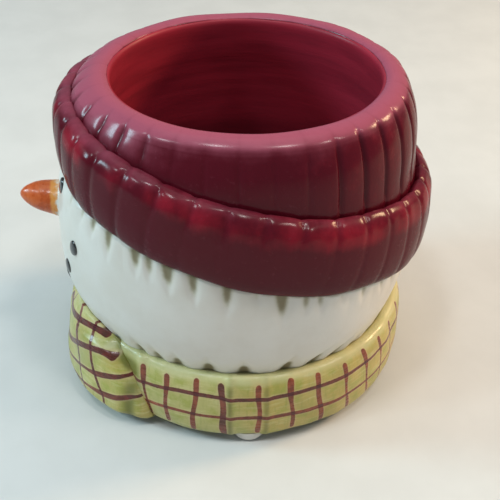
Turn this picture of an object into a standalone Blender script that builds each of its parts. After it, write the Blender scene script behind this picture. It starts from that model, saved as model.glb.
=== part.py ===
"""Glazed ceramic pot shaped as a snowman's head: a wide-mouthed pot with a ribbed knit hat whose
brim is rolled up and tilted back, a white head with a carrot nose, eyes and a coal smile, a plaid
scarf round the neck with a folded front, and three short feet.

Metres, +Z up, the face looks along -Y. While it is being built, the pot's axis is x = y = 0 and
z = 0 is the scarf's bottom edge. Angles round the pot are measured from the face, and are positive
towards the snowman's left hand (+X).
"""

import math

import bmesh
import bpy
from mathutils import Vector

MM = 0.001

# Sizes in millimetres.
GAP = 0.3
FOOT_HEIGHT = 4.0
FOOT_RADIUS = 6.8
FOOT_CIRCLE = 53.6
FOOT_ANGLES = (88.0, 208.0, 328.0)

SEAM_MID = 66.5  # where the brim's lower edge lies at the pot's side
SEAM_RISE = 14.5  # how far it rises at the face, and drops at the back
CREST_MID = 94.3  # where the brim meets the hat's crown at the side
CREST_RISE = 13.8

RIBS = 36
RIB_START = math.radians(4)
RIB_DEPTH = 0.9

# (radius, height) down the inside of the pot, from under the lip to the floor.
WELL_TOP = 106.0
WELL_WALL = 2.3
WELL_INSIDE = (
    (46.0, 106.0),
    (47.2, 100.0),
    (49.4, 90.0),
    (51.4, 75.0),
    (52.2, 55.0),
    (51.4, 35.0),
    (48.5, 20.0),
    (43.5, 12.5),
    (37.5, 9.4),
    (28.0, 8.8),
)
WELL_UNDER = ((28.0, 6.5), (38.5, 7.0), (44.6, 10.4))

# (radius, height) over the lip and down the hat's outside.
LIP = ((46.0, 106.3), (45.1, 109.0), (45.3, 111.3), (46.8, 112.7), (49.0, 113.3), (51.6, 112.8))
CROWN = ((54.2, 110.9), (56.4, 107.5), (58.2, 102.0), (59.4, 95.0), (59.8, 86.0), (59.8, 78.0), (59.8, 70.0))

# (radius, share of the way down) over the rolled brim, from its ledge's outer edge.
BRIM = (
    (62.4, 0.035),
    (64.4, 0.08),
    (65.7, 0.20),
    (66.4, 0.38),
    (66.6, 0.60),
    (66.0, 0.80),
    (65.0, 0.93),
    (63.8, 1.00),
)
BRIM_BACK = (0.4, 3.0, 6.0, 10.0, 15.0)  # drops below the crest, up the brim's back

# (radius, height) up the head's outside.
HEAD = (
    (57.0, 27.0),
    (59.4, 33.0),
    (61.6, 42.0),
    (62.7, 52.0),
    (63.0, 65.0),
    (62.4, 78.0),
    (61.6, 84.0),
)
FACE_BULGE = ((27.0, 5.5), (38.0, 6.0), (50.0, 5.3), (62.0, 4.6), (82.0, 2.4))
FACE_WIDTH = 45.0

# (radius, height) up the scarf's outside.
SCARF = ((60.3, 0.0), (61.4, 3.0), (61.9, 9.0), (61.5, 18.0), (60.6, 24.0), (58.9, 26.4))
SCARF_INNER = 54.8
SCARF_FRONT = 1.6

# (half angle, share of the way up) and (thickness, share) of the scarf's folded front.
KNOT_HALF_ANGLE = ((50.0, 0.0), (49.6, 0.2), (48.0, 0.5), (43.5, 0.8), (37.0, 1.0))
KNOT_THICK = ((8.4, 0.0), (8.4, 0.1), (8.0, 0.2), (7.0, 0.37), (6.1, 0.56), (5.4, 0.74), (4.3, 0.89), (1.6, 1.0))

NOSE_RADIUS = 6.3
NOSE_BASE = 67.6
NOSE_TIP = 81.3
NOSE_HEIGHT = 63.4
NOSE_RISE = 2.4

COALS = ((0.0, 34.0), (8.8, 36.6), (17.4, 47.6), (25.0, 60.6))
COAL_HALF = (2.3, 3.3, 0.9)
EYE_ANGLE = 12.5
EYE_HALF = (2.5, 3.1, 0.9)


def along(table, at, key=1, value=0):
    """The value at a place in a table of points, joined by straight lines."""
    rows = sorted((row[key], row[value]) for row in table)
    if at <= rows[0][0]:
        return rows[0][1]
    for (k0, v0), (k1, v1) in zip(rows, rows[1:]):
        if at <= k1:
            return v0 + (v1 - v0) * (at - k0) / (k1 - k0)
    return rows[-1][1]


def smooth_line(points, steps):
    """A Catmull-Rom line through the points, with this many steps between each pair."""
    rows = [points[0], *points, points[-1]]
    line = []
    for a, b, c, d in zip(rows, rows[1:], rows[2:], rows[3:]):
        for step in range(steps):
            t = step / steps
            line.append(
                tuple(
                    0.5 * (2 * q + (r - p) * t + (2 * p - 5 * q + 4 * r - s) * t**2
                           + (3 * q - p - 3 * r + s) * t**3)
                    for p, q, r, s in zip(a, b, c, d)
                )
            )
    line.append(points[-1])
    return line


def around(theta, radius, height):
    """A point, in metres, at an angle from the face."""
    return Vector((radius * math.sin(theta), -radius * math.cos(theta), height)) * MM


def face_share(theta, width=FACE_WIDTH):
    """1 at the face, falling to 0 round the sides."""
    away = math.degrees(math.atan2(math.sin(theta), math.cos(theta)))
    return math.exp(-((away / width) ** 2))


def rib(theta):
    """The knit's ribs: broad rounded ridges with narrow grooves between, as -1..1."""
    wave = math.sin(RIBS * (theta - RIB_START) / 2)
    return 2 * abs(wave) ** 0.7 - 1


def seam(theta):
    return SEAM_MID + SEAM_RISE * math.cos(theta)


def crest(theta):
    return CREST_MID + CREST_RISE * math.cos(theta)


def crown_radius(height):
    return along(CROWN, height)


def well_outside(height):
    if height < 12.5:
        return along(WELL_UNDER, height)
    return along(WELL_INSIDE, height) + WELL_WALL * min(1, 0.35 + height / 30)


def head_radius(theta, height):
    bulge = along(FACE_BULGE, height, key=0, value=1)
    flat_back = 1.5 * face_share(theta + math.pi, 50.0)
    return along(HEAD, height) + bulge * face_share(theta) - flat_back


def scarf_radius(theta, height):
    return along(SCARF, height) + SCARF_FRONT * face_share(theta)


def clear_scene():
    for old in list(bpy.data.objects):
        bpy.data.objects.remove(old)


def material(name, colour, roughness, coat=0.0):
    made = bpy.data.materials.new(name)
    made.use_nodes = True
    shader = made.node_tree.nodes["Principled BSDF"]
    shader.inputs["Base Color"].default_value = (*colour, 1.0)
    shader.inputs["Roughness"].default_value = roughness
    shader.inputs["Metallic"].default_value = 0.0
    shader.inputs["Coat Weight"].default_value = coat
    return made


def node(name, points, faces, finish, parent, smooth=True):
    """One closed body as an object with outward faces."""
    mesh = bpy.data.meshes.new(name)
    mesh.from_pydata([tuple(point) for point in points], [], faces)
    work = bmesh.new()
    work.from_mesh(mesh)
    bmesh.ops.recalc_face_normals(work, faces=work.faces)
    work.to_mesh(mesh)
    work.free()
    for polygon in mesh.polygons:
        polygon.use_smooth = smooth
    mesh.materials.append(finish)
    made = bpy.data.objects.new(name, mesh)
    made.parent = parent
    bpy.context.scene.collection.objects.link(made)
    return made


def ring(rows, sides):
    """Points and faces of a closed loop swept round the axis. rows(theta) lists (radius, height)."""
    points = []
    for side in range(sides):
        theta = 2 * math.pi * side / sides
        loop = rows(theta)
        points += [around(theta, radius, height) for radius, height in loop]
    count = len(points) // sides
    faces = []
    for side in range(sides):
        here = side * count
        there = (side + 1) % sides * count
        for row in range(count):
            after = (row + 1) % count
            faces.append((here + row, there + row, there + after, here + after))
    return points, faces


def turned(profile, sides):
    """Points and faces of a solid turned about the axis, from one end on the axis to the other."""
    points = [Vector((0, 0, profile[0][1])) * MM, Vector((0, 0, profile[-1][1])) * MM]
    middle = profile[1:-1]
    for side in range(sides):
        theta = 2 * math.pi * side / sides
        points += [around(theta, radius, height) for radius, height in middle]
    count = len(middle)
    faces = []
    for side in range(sides):
        here = 2 + side * count
        there = 2 + (side + 1) % sides * count
        faces.append((0, there, here))
        for row in range(count - 1):
            faces.append((here + row, there + row, there + row + 1, here + row + 1))
        faces.append((1, here + count - 1, there + count - 1))
    return points, faces


def inner_well(finish, parent):
    inside = smooth_line(WELL_INSIDE, 2)
    outside = [(well_outside(height), height) for height in (106, 96, 82, 66, 48, 32, 20, 13.5)]
    under = list(reversed(WELL_UNDER))
    profile = [(0, 8.8), *reversed(inside), *outside, *under, (0, 6.5)]
    points, faces = turned(profile, 72)
    return node("inner_well", points, faces, finish, parent)


def hat_crown(finish, parent):
    lip = smooth_line(LIP, 1)
    crown = smooth_line(CROWN, 1)

    def rows(theta):
        low = seam(theta) + GAP
        loop = list(lip)
        for radius, height in crown[:-1]:
            shown = max(0.0, min(1.0, (height - crest(theta) - 0.3) / 4))
            shown *= max(0.0, min(1.0, (111 - height) / 4))
            loop.append((radius + RIB_DEPTH * shown * rib(theta), max(height, low + 2)))
        loop.append((59.8, low))
        heights = [low + (WELL_TOP + GAP - low) * share for share in (0, 0.3, 0.65, 1)]
        loop += [(well_outside(height) + GAP, height) for height in heights]
        return loop

    points, faces = ring(rows, RIBS * 4)
    return node("hat_crown", points, faces, finish, parent)


def hat_cuff(finish, parent):
    profile = smooth_line(BRIM, 1)

    def rows(theta):
        top = crest(theta)
        low = seam(theta) + GAP
        loop = []
        for radius, share in profile:
            shown = math.sin(math.pi * min(1, share * 0.9 + 0.08))
            change = RIB_DEPTH * 0.8 * shown * rib(theta) - 0.5 * math.cos(theta)
            loop.append((radius + change, top + (low - top) * share))
        loop.append((crown_radius(low) + 0.4, low))
        loop += [(crown_radius(top - drop) + 0.4, top - drop) for drop in reversed(BRIM_BACK)]
        return loop

    points, faces = ring(rows, RIBS * 4)
    return node("hat_cuff", points, faces, finish, parent)


def head_shell(finish, parent):
    def rows(theta):
        high = seam(theta)
        loop = []
        for share in (0, 0.12, 0.25, 0.4, 0.6, 0.8, 1):
            height = 27.0 + (high - 27.0) * share
            limit = 64.2 - 0.5 * math.cos(theta) + 40 * (1 - share)
            loop.append((min(head_radius(theta, height), limit), height))
        for share in (1, 0.66, 0.33, 0):
            height = 27.0 + (high - 27.0) * share
            loop.append((max(well_outside(height), 54.6) + GAP, height))
        return loop

    points, faces = ring(rows, 96)
    return node("head_shell", points, faces, finish, parent)


def scarf_band(finish, parent):
    profile = smooth_line(SCARF, 1)

    def rows(theta):
        loop = [(scarf_radius(theta, height), height) for _, height in profile]
        return [*loop, (SCARF_INNER, 26.4), (SCARF_INNER, 0.0)]

    points, faces = ring(rows, 96)
    return node("scarf_band", points, faces, finish, parent)


def base_dish(finish, parent):
    """The pot's plain underside and the bowl above it that holds the inner well."""
    out = SCARF_INNER - GAP
    bowl = [(well_outside(height) + GAP, height) for height in (26.2, 20, 13.5)]
    under = [(radius + 0.25, height - GAP) for radius, height in reversed(WELL_UNDER)]
    profile = [(0, 0.8), (44, 0.8), (45.2, 0), (out, 0), (out, 26.2), *bowl, *under, (0, 6.2)]
    points, faces = turned(profile, 72)
    return node("base_dish", points, faces, finish, parent, smooth=False)


def scarf_knot(finish, parent):
    """The scarf's folded front: a thick drape laid over the band, with a raised roll at each side."""
    across, up = 28, 10
    outer, inner = [], []
    for j in range(up + 1):
        v = j / up
        for i in range(across + 1):
            u = 2 * i / across - 1
            theta = math.radians(along(KNOT_HALF_ANGLE, v) * u)
            top = 27.0 + 1.0 * math.exp(-(((abs(u) - 0.5) / 0.3) ** 2)) - 1.6 * abs(u) ** 6
            height = 0.1 + (top - 0.1) * v
            under = scarf_radius(theta, min(height, 26.4))
            if height > 23:
                under = max(under, head_radius(theta, max(height, 27)))
            under += GAP + 0.15
            side = (1 - abs(u) ** 6) ** 0.6
            roll = 0.93 + 0.07 * math.cos(2 * math.pi * (abs(u) - 0.5) / 0.9)
            thick = 0.6 + along(KNOT_THICK, v) * side * roll
            outer.append(around(theta, under + thick, height))
            inner.append(around(theta, under, height))
    points = outer + inner
    wide = across + 1
    shift = len(outer)
    faces = []
    for j in range(up):
        for i in range(across):
            a = j * wide + i
            faces.append((a, a + 1, a + wide + 1, a + wide))
            faces.append((a + shift, a + wide + shift, a + wide + 1 + shift, a + 1 + shift))
    edge = [i for i in range(wide)]
    edge += [j * wide + across for j in range(1, up + 1)]
    edge += [up * wide + i for i in range(across - 1, -1, -1)]
    edge += [j * wide for j in range(up - 1, 0, -1)]
    for a, b in zip(edge, edge[1:] + edge[:1]):
        faces.append((a, a + shift, b + shift, b))
    return node("scarf_knot", points, faces, finish, parent)


def lens(name, half, theta, height, finish, parent):
    """An oval bead that stands on the head's face."""
    wide, tall, thick = half
    rows, sides = 5, 16
    points = [Vector((0, thick, 0)), Vector((0, -0.05, 0))]
    for row in range(rows):
        turn = math.pi / 2 * (row + 1) / rows
        out = math.sin(turn)
        lift = thick * math.cos(turn)
        for side in range(sides):
            angle = 2 * math.pi * side / sides
            points.append(Vector((wide * out * math.cos(angle), lift, tall * out * math.sin(angle))))
    faces = []
    for side in range(sides):
        after = (side + 1) % sides
        faces.append((0, 2 + side, 2 + after))
        for row in range(rows - 1):
            a = 2 + row * sides
            faces.append((a + side, a + sides + side, a + sides + after, a + after))
        last = 2 + (rows - 1) * sides
        faces.append((1, last + after, last + side))
    radius = head_radius(theta, height)
    # The bead's back follows the head, so each point is moved out by the head's curve there.
    placed = []
    for point in points:
        turn = theta + point.x / radius
        level = height + point.z
        placed.append(around(turn, head_radius(turn, level) + GAP + point.y, level))
    return node(name, placed, faces, finish, parent)


def carrot_nose(finish, parent):
    rows, sides = 9, 24
    points = [Vector((0, 0, 0)), Vector((0, 0, 0))]
    for row in range(rows):
        share = row / rows
        out = NOSE_RADIUS * (1 - share**2.1) ** 0.62
        for side in range(sides):
            angle = 2 * math.pi * side / sides
            points.append(Vector((out * math.cos(angle), share, out * math.sin(angle))))
    placed = []
    for index, point in enumerate(points):
        if index == 1:
            share = 1.0
        else:
            share = point.y
        height = NOSE_HEIGHT + point.z + NOSE_RISE * share
        if index == 0 or 2 <= index < 2 + sides:
            turn = point.x / NOSE_BASE
            out = head_radius(turn, height) + GAP
            placed.append(around(turn, out, height))
        else:
            reach = NOSE_BASE + 0.8 + (NOSE_TIP - NOSE_BASE - 0.8) * share
            placed.append(Vector((point.x, -reach, height)) * MM)
    faces = []
    for side in range(sides):
        after = (side + 1) % sides
        faces.append((0, 2 + after, 2 + side))
        for row in range(rows - 1):
            a = 2 + row * sides
            faces.append((a + side, a + after, a + sides + after, a + sides + side))
        last = 2 + (rows - 1) * sides
        faces.append((1, last + side, last + after))
    return node("carrot_nose", placed, faces, finish, parent)


def foot(name, theta, finish, parent):
    """A short round foot with a rounded lower edge and a flat sole."""
    top = -GAP
    sole = -FOOT_HEIGHT
    edge = 1.6
    profile = [(0, top), (FOOT_RADIUS, top)]
    for step in range(5):
        turn = math.pi / 2 * step / 4
        out = FOOT_RADIUS - edge + edge * math.cos(turn)
        profile.append((out, sole + edge - edge * math.sin(turn)))
    profile.append((0, sole))
    points, faces = turned(profile, 28)
    middle = around(theta, FOOT_CIRCLE, 0)
    placed = [point + middle for point in points]
    return node(name, placed, faces, finish, parent)


def main():
    clear_scene()
    frame = bpy.data.objects.new("pot_axis", None)
    bpy.context.scene.collection.objects.link(frame)

    maroon = material("maroon_glaze", (0.115, 0.011, 0.022), 0.28, 0.5)
    lining = material("lining_glaze", (0.20, 0.010, 0.018), 0.35, 0.3)
    white = material("white_glaze", (0.62, 0.61, 0.57), 0.30, 0.5)
    green = material("scarf_glaze", (0.40, 0.40, 0.11), 0.33, 0.4)
    orange = material("nose_glaze", (0.68, 0.13, 0.02), 0.30, 0.4)
    black = material("coal_glaze", (0.008, 0.008, 0.009), 0.20, 0.4)
    plain = material("plain_underside", (0.55, 0.52, 0.46), 0.80)

    made = [
        inner_well(lining, frame),
        hat_crown(maroon, frame),
        hat_cuff(maroon, frame),
        head_shell(white, frame),
        scarf_band(green, frame),
        scarf_knot(green, frame),
        base_dish(plain, frame),
        carrot_nose(orange, frame),
    ]
    for side, name in ((-1, "eye_right"), (1, "eye_left")):
        theta = math.radians(EYE_ANGLE * side)
        height = seam(theta) - EYE_HALF[1] - 0.7
        made.append(lens(name, EYE_HALF, theta, height, black, frame))
    places = [(-angle, height) for angle, height in reversed(COALS[1:])] + list(COALS)
    for number, (angle, height) in enumerate(places, 1):
        name = f"mouth_coal_{number}"
        made.append(lens(name, COAL_HALF, math.radians(angle), height, black, frame))
    for number, angle in enumerate(FOOT_ANGLES, 1):
        made.append(foot(f"foot_{number}", math.radians(angle), white, frame))

    # The finished pot stands on z = 0 with its bounding box centred on the origin.
    corners = [vertex.co for piece in made for vertex in piece.data.vertices]
    low = Vector(min(point[axis] for point in corners) for axis in range(3))
    high = Vector(max(point[axis] for point in corners) for axis in range(3))
    frame.location = (-(low.x + high.x) / 2, -(low.y + high.y) / 2, -low.z)
    bpy.context.view_layer.update()


main()
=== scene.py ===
"""Looks of the glazed snowman-head pot: a maroon knit hat with a rolled brim, a white head gathered
under it, a carrot nose, a plaid painted scarf and three feet. Every piece is a cast, hand-painted
ceramic surface, so each shape is slightly uneven and each glaze is a node material.

Shapes are worked out in millimetres round the pot's axis, with z = 0 at the scarf's bottom edge and
angles in degrees from the face, positive towards the snowman's left hand (+X).
"""

import math

import bpy
import numpy as np
from mathutils import Matrix, Vector


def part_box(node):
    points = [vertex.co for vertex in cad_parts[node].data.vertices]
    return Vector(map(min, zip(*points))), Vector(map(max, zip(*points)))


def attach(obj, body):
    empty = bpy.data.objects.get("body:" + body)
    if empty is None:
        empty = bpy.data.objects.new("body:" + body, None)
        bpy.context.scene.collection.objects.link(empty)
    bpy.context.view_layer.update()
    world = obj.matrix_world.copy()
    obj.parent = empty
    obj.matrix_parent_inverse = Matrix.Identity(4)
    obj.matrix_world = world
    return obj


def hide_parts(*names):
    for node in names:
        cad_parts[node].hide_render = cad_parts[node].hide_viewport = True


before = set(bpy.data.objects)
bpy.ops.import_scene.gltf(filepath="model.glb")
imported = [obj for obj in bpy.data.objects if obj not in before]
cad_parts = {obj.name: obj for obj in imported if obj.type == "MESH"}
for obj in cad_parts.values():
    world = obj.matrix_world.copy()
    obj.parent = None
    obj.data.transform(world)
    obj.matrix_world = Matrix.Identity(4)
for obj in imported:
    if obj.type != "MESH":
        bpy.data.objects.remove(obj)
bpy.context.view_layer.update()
well_low, well_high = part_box("inner_well")
AXIS_X = (well_low.x + well_high.x) / 2
AXIS_Y = (well_low.y + well_high.y) / 2
BASE_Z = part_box("scarf_band")[0].z
MM = 0.001

SIDES = 1080  # points round each of the hat's pieces
RIBS = 36
CROWN_GROOVE = 4.0  # the angle of one of the crown's grooves
BRIM_GROOVE = 9.3  # the angle of one of the brim's grooves
FAR = 9.0  # a distance in mm that is clear of every painted line
WAVES = 7  # sine waves added up for an unevenness
WAVES_PEAK = 2.8  # about the most that they come to

# ---------------- curves and made-up unevenness


def smooth(x, low=0.0, high=1.0):
    t = np.clip((x - low) / (high - low), 0, 1)
    return t * t * (3 - 2 * t)


def bell(x, width):
    return np.exp(-((x / width) ** 2))


def wrap(theta):
    return (theta + 180) % 360 - 180


def cosd(theta):
    return np.cos(np.radians(theta))


def sind(theta):
    return np.sin(np.radians(theta))


def arc(theta, radius):
    """Length in mm, along the pot, of an angle in degrees."""
    return theta * np.pi / 180 * radius


def table(rows, at):
    """The value at a place in rows of (place, value)."""
    return np.interp(at, [r[0] for r in rows], [r[1] for r in rows])


def spline(points, steps):
    """A Catmull-Rom line through points, each a tuple of numbers or arrays. steps counts each span."""
    points = [np.stack(np.broadcast_arrays(*[np.asarray(c, float) for c in p])) for p in points]
    points = [p if p.ndim > 1 else p[:, None] for p in points]
    count = max(p.shape[1] for p in points)
    points = [np.broadcast_to(p, (p.shape[0], count)) for p in points]
    if isinstance(steps, int):
        steps = [steps] * (len(points) - 1)
    ends = [points[0], *points, points[-1]]
    made = []
    for a, b, c, d, n in zip(ends, ends[1:], ends[2:], ends[3:], steps):
        for step in range(n):
            t = step / n
            made.append(
                0.5 * (2 * b + (c - a) * t + (2 * a - 5 * b + 4 * c - d) * t**2
                       + (3 * b - a - 3 * c + d) * t**3)
            )
    made.append(points[-1])
    return np.stack(made, 1)


def waver(theta, z, seed, finest=8, climb=0.12):
    """Smooth unevenness, about -1 to 1, that closes on itself round the pot. It has up to finest
    waves round it, and its waves drift sideways with height by up to climb."""
    dice = np.random.default_rng(seed)
    total = 0
    for _ in range(WAVES):
        times = dice.integers(1, finest + 1)
        total = total + np.sin(np.radians(theta * times) + z * dice.uniform(-climb, climb)
                               + dice.uniform(0, 6.3))
    return total / WAVES_PEAK


def per_rib(theta, start, seed, low, high):
    """A value between low and high for each rib's groove, blended between neighbours."""
    dice = np.random.default_rng(seed)
    values = dice.uniform(low, high, RIBS)
    at = ((theta - start) / (360 / RIBS)) % RIBS
    first = np.floor(at).astype(int)
    part = smooth(at - first)
    return values[first % RIBS] * (1 - part) + values[(first + 1) % RIBS] * part


def groove(theta, start, radius, narrow):
    """1 in each knit groove, falling to 0 on the broad rib between."""
    pitch = 360 / RIBS
    away = arc(np.abs((theta - start + pitch / 2) % pitch - pitch / 2), radius)
    broad = 1 - away / arc(pitch / 2, radius)
    return 0.6 * bell(away, narrow) + 0.4 * np.clip(broad, 0, 1) ** 2


# ---------------- the pot's own shapes

# (radius, height) over the lip, down the hat's outside and down the inside of the pot.
LIP = [(48.3, 109.2), (47.3, 110.4), (46.6, 111.3), (46.4, 111.95), (46.95, 112.6), (48.9, 113.15),
       (51.6, 112.8), (53.9, 111.4), (55.3, 109.5)]
CROWN = [(55.3, 109.5), (56.6, 106.8), (58.2, 102), (59.4, 95), (59.8, 86), (59.8, 70)]
WELL = [(46.9, 112.15), (46.25, 112.1), (45.75, 111.5), (45.55, 110.4), (45.8, 108), (46.3, 105),
        (47.2, 100), (49.4, 90), (51.4, 75), (52.2, 55), (51.4, 35), (48.5, 20), (43.5, 12.5),
        (37.5, 9.4), (28, 8.8), (14, 8.7), (0.02, 8.6)]
# (height, radius) up the outside of the head and the scarf, and how far the face bulges further.
HEAD = [(24, 56.2), (27, 57), (33, 59.4), (42, 61.6), (52, 62.7), (65, 63), (78, 62.4), (84, 61.6)]
SCARF = [(-0.2, 60.2), (3, 61.4), (9, 61.9), (18, 61.6), (24, 60.7), (26.4, 58.9)]
FACE = [(27, 5.5), (38, 6), (50, 5.3), (62, 4.6), (82, 2.4)]
FACE_WIDTH = 45.0
SCARF_FRONT = 1.6  # how far the scarf bulges in front
HIGHEST = 113.3  # the lip's top
# Heights at the pot's side, and how far each edge rises at the face and drops at the back.
SEAM_MID, SEAM_RISE = 66.5, 14.5
CREST_MID, CREST_RISE = 94.3, 13.8


def towards_face(theta):
    """1 at the face, falling to 0 at the back."""
    return 0.5 + 0.5 * cosd(theta)


def seam(theta):
    """Height of the brim's lower edge."""
    return SEAM_MID + SEAM_RISE * cosd(theta) + 0.35 * waver(theta, 0, 4, 13)


def crest(theta):
    """Height where the brim meets the crown."""
    return CREST_MID + CREST_RISE * cosd(theta) + 0.35 * waver(theta, 0, 9, 11)


CROWN_LINE = spline(CROWN, 12)[:, ::-1, 0]


def crown_radius(z):
    return np.interp(z, CROWN_LINE[1], CROWN_LINE[0])


def gutter(theta):
    """Radius and height of the groove behind the brim's top, where the crown's ribs run out."""
    front = towards_face(theta)
    return 60.6 - 2.1 * front, crest(theta) - 1.0 + 0.7 * front


def flared(radius, z, theta):
    """The crown widens over its last few millimetres to meet the gutter."""
    wide, low = gutter(theta)
    return radius + (wide - crown_radius(low)) * (1 - smooth(z - low, 0, 8)) * smooth(radius, 49, 55)


def face_share(theta):
    """1 at the middle of the face, fading over its width."""
    return bell(wrap(theta), FACE_WIDTH)


def head_radius(theta, z):
    """The head's outside, with the corners of its table softened and its back a little flatter."""
    levels = np.linspace(20, 90, 71)
    soft = np.convolve(np.pad(table(HEAD, levels), 4, mode="edge"), np.ones(9) / 9, "valid")
    flatter = 1.5 * bell(wrap(theta - 180), 50)
    return np.interp(z, levels, soft) + table(FACE, z) * face_share(theta) - flatter


def scarf_radius(theta, z):
    return table(SCARF, z) + SCARF_FRONT * face_share(theta)


# ---------------- building pieces


def upright(x, y, z):
    """Points in metres in the CAD's frame, from millimetres from the pot's axis and scarf's edge."""
    return np.stack(np.broadcast_arrays(AXIS_X + x * MM, AXIS_Y + y * MM, BASE_Z + z * MM), -1)


def place(theta, radius, z):
    """The same from an angle, a radius and a height."""
    return upright(radius * sind(theta), -radius * cosd(theta), z)


def woven(rows, cols, close_rows=False, close_cols=False, start=0):
    """Quads of a grid of points, as an array of corner numbers."""
    r = np.arange(rows if close_rows else rows - 1)
    c = np.arange(cols if close_cols else cols - 1)
    r, c = np.meshgrid(r, c, indexing="ij")
    a = r * cols + c
    b = r * cols + (c + 1) % cols
    d = (r + 1) % rows * cols + c
    e = (r + 1) % rows * cols + (c + 1) % cols
    return np.stack([a, b, e, d], -1).reshape(-1, 4) + start


def piece(name, points, faces, marks, finish, nodes):
    """A smooth mesh piece that stands for CAD nodes. marks are numbers kept at each point."""
    mesh = bpy.data.meshes.new(name)
    mesh.vertices.add(len(points))
    mesh.vertices.foreach_set("co", np.asarray(points, np.float32).ravel())
    mesh.loops.add(len(faces) * 4)
    mesh.loops.foreach_set("vertex_index", np.asarray(faces, np.int32).ravel())
    mesh.polygons.add(len(faces))
    mesh.polygons.foreach_set("loop_start", np.arange(0, len(faces) * 4, 4, dtype=np.int32))
    mesh.polygons.foreach_set("use_smooth", np.ones(len(faces), bool))
    mesh.update(calc_edges=True)
    mesh.validate()
    for key, values in marks.items():
        layer = mesh.attributes.new(key, "FLOAT", "POINT")
        flat = np.broadcast_to(np.asarray(values, float), (len(points),))
        layer.data.foreach_set("value", flat.astype(np.float32))
    mesh.materials.append(finish)
    made = bpy.data.objects.new(name, mesh)
    bpy.context.scene.collection.objects.link(made)
    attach(made, "root")
    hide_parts(*nodes)


def hoop(name, theta, radius, z, hidden, marks, finish, nodes):
    """A closed body swept round the axis. radius and z have a row for each seen point of its section.
    hidden lists the (radius, height) points that close the section out of sight, without marks."""
    seen_shape, hidden_shape = radius.shape, (len(hidden), len(theta))
    hidden_r, hidden_z = (np.stack([np.broadcast_to(point[i], theta.shape) for point in hidden])
                          for i in (0, 1))
    radius, z = np.concatenate([radius, hidden_r]), np.concatenate([z, hidden_z])
    flat = {}
    for key, value in marks.items():
        unmarked = np.full(hidden_shape, FAR if key in ("across", "down") else 0.0)
        flat[key] = np.concatenate([np.broadcast_to(value, seen_shape), unmarked]).ravel()
    faces = woven(*radius.shape, close_rows=True, close_cols=True)
    piece(name, place(theta, radius, z).reshape(-1, 3), faces, flat, finish, nodes)


def outwards(radius, z):
    """The section's outward direction, as (radial share, upward share)."""
    dr, dz = np.gradient(radius, axis=0), np.gradient(z, axis=0)
    size = np.hypot(dr, dz) + 1e-9
    return -dz / size, dr / size


# ---------------- glazes


class Glaze:
    """A short way to write a node material."""

    def __init__(self, name):
        self.made = bpy.data.materials.new(name)
        self.made.use_nodes = True
        self.tree = self.made.node_tree
        self.shader = self.tree.nodes["Principled BSDF"]
        self.place = self.add("ShaderNodeTexCoord").outputs["Object"]

    def add(self, kind, **settings):
        node = self.tree.nodes.new(kind)
        for key, value in settings.items():
            setattr(node, key, value)
        return node

    def put(self, socket, value):
        if isinstance(value, bpy.types.NodeSocket):
            self.tree.links.new(value, socket)
        elif hasattr(value, "__len__"):
            opaque = len(value) == 3 and len(socket.default_value) == 4
            socket.default_value = (*value, 1.0) if opaque else value
        else:
            socket.default_value = value

    def maths(self, kind, a, b):
        node = self.add("ShaderNodeMath", operation=kind)
        self.put(node.inputs[0], a)
        self.put(node.inputs[1], b)
        return node.outputs[0]

    def span(self, value, low, high, to_low=0.0, to_high=1.0):
        """The value's place from low to high, carried smoothly to the second range."""
        node = self.add("ShaderNodeMapRange", interpolation_type="SMOOTHSTEP")
        for key, number in (("Value", value), ("From Min", low), ("From Max", high),
                            ("To Min", to_low), ("To Max", to_high)):
            self.put(node.inputs[key], number)
        return node.outputs["Result"]

    def mark(self, name):
        """A number that the mesh keeps at each point."""
        return self.add("ShaderNodeAttribute", attribute_name=name).outputs["Fac"]

    def noise(self, size_mm, detail, rough, stretch=(1, 1, 1)):
        """Cloudy noise with features of about this many millimetres, longer along stretched axes."""
        scale = self.add("ShaderNodeMapping")
        self.put(scale.inputs["Vector"], self.place)
        self.put(scale.inputs["Scale"], tuple(1 / s for s in stretch))
        node = self.add("ShaderNodeTexNoise")
        self.put(node.inputs["Vector"], scale.outputs[0])
        for key, number in (("Scale", 1000 / size_mm), ("Detail", detail), ("Roughness", rough)):
            self.put(node.inputs[key], number)
        return node.outputs["Fac"]

    def spots(self, size_mm):
        """Distance from the nearest of many scattered specks."""
        node = self.add("ShaderNodeTexVoronoi")
        self.put(node.inputs["Vector"], self.place)
        self.put(node.inputs["Scale"], 1000 / size_mm)
        return node.outputs["Distance"]

    def blend(self, share, a, b):
        """Colour a, turning to colour b as the share goes from 0 to 1."""
        node = self.add("ShaderNodeMix", data_type="RGBA")
        self.put(node.inputs[0], share)
        self.put(node.inputs[6], a)
        self.put(node.inputs[7], b)
        return node.outputs[2]

    def uneven(self, value, by, amount):
        """The value, raised and lowered by a noise by up to half of the amount."""
        return self.maths("ADD", value, self.maths("MULTIPLY", self.maths("SUBTRACT", by, 0.5), amount))

    def relief(self, *layers):
        """A bump height from (noise, share) layers."""
        total = self.maths("MULTIPLY", *layers[0])
        for layer in layers[1:]:
            total = self.maths("ADD", total, self.maths("MULTIPLY", *layer))
        return total

    def finish(self, colour, roughness, height, lift_mm, coat=0.0, coat_rough=0.1, specular=0.5,
               coat_ior=1.5):
        """Colour, roughness and a bump whose full height is lift_mm."""
        bump = self.add("ShaderNodeBump")
        self.put(bump.inputs["Height"], height)
        self.put(bump.inputs["Strength"], 1.0)
        self.put(bump.inputs["Distance"], lift_mm * MM)
        for key, value in (("Base Color", colour), ("Roughness", roughness), ("Normal", bump.outputs[0]),
                           ("Coat Weight", coat), ("Coat Roughness", coat_rough),
                           ("Coat IOR", coat_ior), ("Specular IOR Level", specular)):
            self.put(self.shader.inputs[key], value)
        return self.made


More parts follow.
